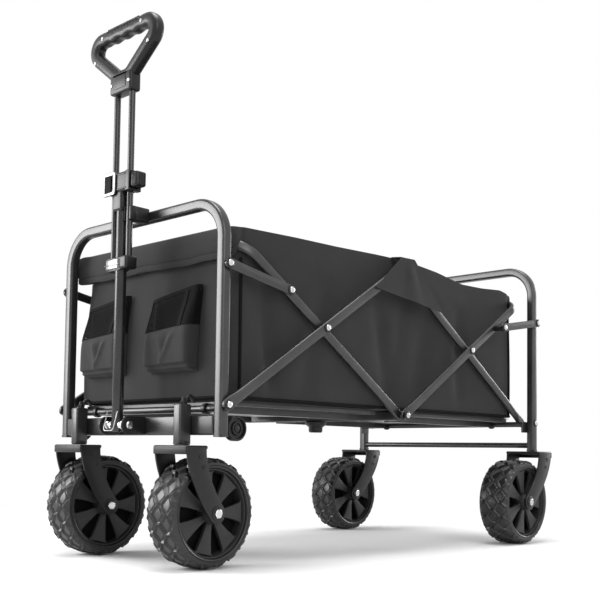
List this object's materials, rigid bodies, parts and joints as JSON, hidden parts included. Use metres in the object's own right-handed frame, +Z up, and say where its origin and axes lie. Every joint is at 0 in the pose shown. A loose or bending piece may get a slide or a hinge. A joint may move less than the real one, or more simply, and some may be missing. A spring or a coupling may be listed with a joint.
{
  "type": "folding camp wagon",
  "caption": "Folding utility wagon: scissor-folded steel frame with U-shaped end frames, open fabric tub, swivel front casters, fixed rear wheels and an upright telescopic pull handle",
  "frame": {"origin": "on the ground below the middle of the wagon, at the centre of its outline seen from above", "axes": "+X to the rear, away from the handle; +Y to the right side; +Z up"},
  "size_m": [0.9828, 0.57, 0.9144],
  "materials": {
    "frame_steel": "satin dark grey powder coat",
    "fork_steel": "satin black powder coat",
    "moulded_plastic": "moulded black plastic",
    "tyre_rubber": "black moulded tread",
    "bright_zinc": "bright plated steel",
    "tub_fabric": "woven charcoal polyester"
  },
  "bodies": {
    "front_frame": {"front_u_frame": "frame_steel", "front_crossbar": "frame_steel", "front_stem_left": "frame_steel", "front_stem_right": "frame_steel", "handle_bracket": "moulded_plastic", "handle_pivot_pin": "bright_zinc", "dock_clip": "moulded_plastic", "front_floor_rod": "frame_steel", "stand_roller_left": "moulded_plastic", "stand_roller_right": "moulded_plastic"},
    "front_arms": {"front_arm_left": "frame_steel", "front_arm_right": "frame_steel"},
    "front_hoop": {"front_hoop": "frame_steel"},
    "front_links": {"front_link_left": "frame_steel", "front_link_right": "frame_steel"},
    "bag": {"bag_panel_left": "tub_fabric", "bag_panel_right": "tub_fabric", "bag_panel_front": "tub_fabric", "bag_panel_rear": "tub_fabric", "bag_flap_left": "tub_fabric", "bag_flap_right": "tub_fabric", "front_pocket_left": "tub_fabric", "front_pocket_right": "tub_fabric"},
    "rear_arms": {"rear_arm_left": "frame_steel", "rear_arm_right": "frame_steel"},
    "rear_hoop": {"rear_hoop": "frame_steel", "link_spacer_left": "moulded_plastic", "link_spacer_right": "moulded_plastic"},
    "rear_links": {"rear_link_left": "frame_steel", "rear_link_right": "frame_steel"},
    "rear_frame": {"rear_u_frame": "frame_steel", "rear_crossbar": "frame_steel", "rear_floor_rod": "frame_steel", "fork_rear_left": "fork_steel", "fork_rear_right": "fork_steel", "axle_rear_left": "bright_zinc", "axle_rear_right": "bright_zinc"},
    "middle_beam": {"middle_beam": "frame_steel", "middle_foot": "moulded_plastic"},
    "floor_front": {"floor_board_front": "moulded_plastic"},
    "floor_rear": {"floor_board_rear": "moulded_plastic"},
    "caster_left": {"fork_front_left": "fork_steel", "axle_front_left": "bright_zinc"},
    "caster_right": {"fork_front_right": "fork_steel", "axle_front_right": "bright_zinc"},
    "wheel_front_left": {"rim_front_left": "moulded_plastic", "tyre_front_left": "tyre_rubber"},
    "wheel_front_right": {"rim_front_right": "moulded_plastic", "tyre_front_right": "tyre_rubber"},
    "wheel_rear_left": {"rim_rear_left": "moulded_plastic", "tyre_rear_left": "tyre_rubber"},
    "wheel_rear_right": {"rim_rear_right": "moulded_plastic", "tyre_rear_right": "tyre_rubber"},
    "handle": {"handle_tube": "frame_steel", "upper_collar": "moulded_plastic"},
    "handle_slider": {"slide_rod_left": "frame_steel", "slide_rod_right": "frame_steel", "slide_collar": "bright_zinc", "grip": "moulded_plastic"},
    "lock_button": {"lock_button": "moulded_plastic"}
  },
  "joints": [
    {"name": "fold", "type": "hinge", "parent": "front_frame", "child": "front_arms", "pos_m": [-0.423, 0, 0.26], "axis": [0, -1, 0], "range_deg": [0, 42.6], "deforming": ["bag_panel_left", "bag_panel_right", "bag_panel_front", "bag_panel_rear", "bag_flap_left", "bag_flap_right", "front_pocket_left", "front_pocket_right"]},
    {"name": "front_hoop_pivot", "type": "hinge", "parent": "front_arms", "child": "front_hoop", "pos_m": [-0.198, 0, 0.4025], "axis": [0, -1, 0], "range_deg": [-85.3, 0]},
    {"name": "bag_hang", "type": "hinge", "parent": "front_arms", "child": "bag", "pos_m": [0.027, 0, 0.545], "axis": [0, -1, 0], "range_deg": [-42.7, 0]},
    {"name": "top_pivot", "type": "hinge", "parent": "front_arms", "child": "rear_arms", "pos_m": [0.027, 0, 0.545], "axis": [0, -1, 0], "range_deg": [-85.3, 0]},
    {"name": "rear_hoop_pivot", "type": "hinge", "parent": "rear_arms", "child": "rear_hoop", "pos_m": [0.252, 0, 0.4025], "axis": [0, -1, 0], "range_deg": [0, 85.3]},
    {"name": "rear_post_pivot", "type": "hinge", "parent": "rear_arms", "child": "rear_frame", "pos_m": [0.477, 0, 0.26], "axis": [0, -1, 0], "range_deg": [0, 42.7]},
    {"name": "middle_pivot", "type": "hinge", "parent": "front_hoop", "child": "middle_beam", "pos_m": [0.027, 0, 0.26], "axis": [0, -1, 0], "range_deg": [0, 42.7]},
    {"name": "front_link_pivot", "type": "hinge", "parent": "front_frame", "child": "front_links", "pos_m": [-0.423, 0, 0.48141], "axis": [0, -1, 0], "range_deg": [0, 82.5]},
    {"name": "rear_link_pivot", "type": "hinge", "parent": "rear_frame", "child": "rear_links", "pos_m": [0.477, 0, 0.48141], "axis": [0, -1, 0], "range_deg": [-82.5, 0]},
    {"name": "floor_front_hinge", "type": "hinge", "parent": "front_frame", "child": "floor_front", "pos_m": [-0.401, 0, 0.256], "axis": [0, -1, 0], "range_deg": [0, 86.2]},
    {"name": "floor_rear_hinge", "type": "hinge", "parent": "rear_frame", "child": "floor_rear", "pos_m": [0.455, 0, 0.256], "axis": [0, -1, 0], "range_deg": [-86.2, 0]},
    {"name": "caster_left_swivel", "type": "hinge", "parent": "front_frame", "child": "caster_left", "pos_m": [-0.4444, -0.142, 0.2], "axis": [0, 0, 1], "continuous": true},
    {"name": "caster_right_swivel", "type": "hinge", "parent": "front_frame", "child": "caster_right", "pos_m": [-0.4444, 0.142, 0.2], "axis": [0, 0, 1], "continuous": true},
    {"name": "wheel_front_left_spin", "type": "hinge", "parent": "caster_left", "child": "wheel_front_left", "pos_m": [-0.4024, -0.142, 0.089], "axis": [0, 1, 0], "continuous": true},
    {"name": "wheel_front_right_spin", "type": "hinge", "parent": "caster_right", "child": "wheel_front_right", "pos_m": [-0.4024, 0.142, 0.089], "axis": [0, 1, 0], "continuous": true},
    {"name": "wheel_rear_left_spin", "type": "hinge", "parent": "rear_frame", "child": "wheel_rear_left", "pos_m": [0.3984, -0.2396, 0.089], "axis": [0, 1, 0], "continuous": true},
    {"name": "wheel_rear_right_spin", "type": "hinge", "parent": "rear_frame", "child": "wheel_rear_right", "pos_m": [0.3984, 0.2396, 0.089], "axis": [0, 1, 0], "continuous": true},
    {"name": "handle_pivot", "type": "hinge", "parent": "front_frame", "child": "handle", "pos_m": [-0.466, 0, 0.229], "axis": [0, -1, 0], "range_deg": [0, 90]},
    {"name": "handle_slide", "type": "slide", "parent": "handle", "child": "handle_slider", "axis": [0, 0, 1], "range_m": [-0.13, 0.058]},
    {"name": "lock_press", "type": "slide", "parent": "handle", "child": "lock_button", "axis": [0, 1, 0], "range_m": [0, 0.004], "stiffness_N_per_m": 600}
  ],
  "couplings": [
    {"joint": "front_hoop_pivot", "follows": "fold", "ratio": -2},
    {"joint": "bag_hang", "follows": "fold", "ratio": -1},
    {"joint": "top_pivot", "follows": "fold", "ratio": -2},
    {"joint": "rear_hoop_pivot", "follows": "fold", "ratio": 2},
    {"joint": "rear_post_pivot", "follows": "fold", "ratio": 1},
    {"joint": "middle_pivot", "follows": "fold", "ratio": 1},
    {"joint": "front_link_pivot", "follows": "fold", "ratio": 1.9314},
    {"joint": "rear_link_pivot", "follows": "fold", "ratio": -1.9314},
    {"joint": "floor_front_hinge", "follows": "fold", "ratio": 2.02},
    {"joint": "floor_rear_hinge", "follows": "fold", "ratio": -2.02}
  ]
}
